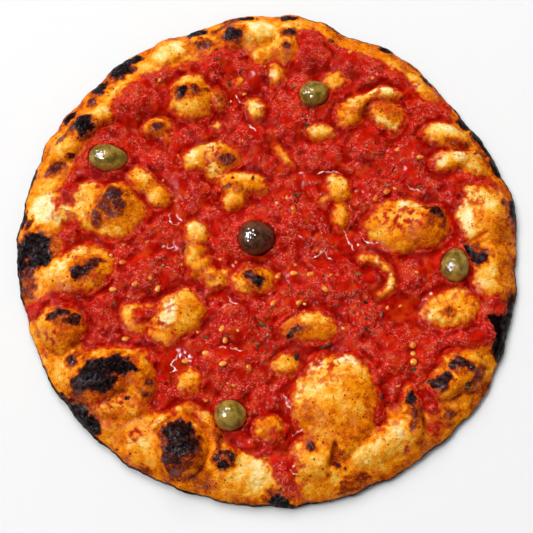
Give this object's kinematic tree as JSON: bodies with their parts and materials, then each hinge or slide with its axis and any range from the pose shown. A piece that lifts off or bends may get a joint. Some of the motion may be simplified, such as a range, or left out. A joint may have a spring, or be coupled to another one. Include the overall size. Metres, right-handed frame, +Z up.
{
  "type": "tomato focaccia",
  "caption": "Round flat tomato focaccia: blistered, charred golden crust with crushed tomato sauce, small olives, tomato seeds and oregano on top.",
  "frame": {"origin": "middle of the overall box, on the flat underside", "axes": "+Z up out of the topped face; -Y is the front, the picture's lower edge; +X is the picture's right"},
  "size_m": [0.3012, 0.3056, 0.0254],
  "materials": {
    "crust": "satin",
    "tomato_sauce": "gloss",
    "green_olive": "gloss",
    "black_olive": "gloss",
    "tomato_seed": "gloss",
    "oregano": "satin"
  },
  "bodies": {
    "root": {"loaf": "crust", "tomato_sauce": "tomato_sauce", "olive_back": "green_olive", "olive_left": "green_olive", "olive_right": "green_olive", "olive_front": "green_olive", "olive_black": "black_olive"}
  },
  "joints": []
}
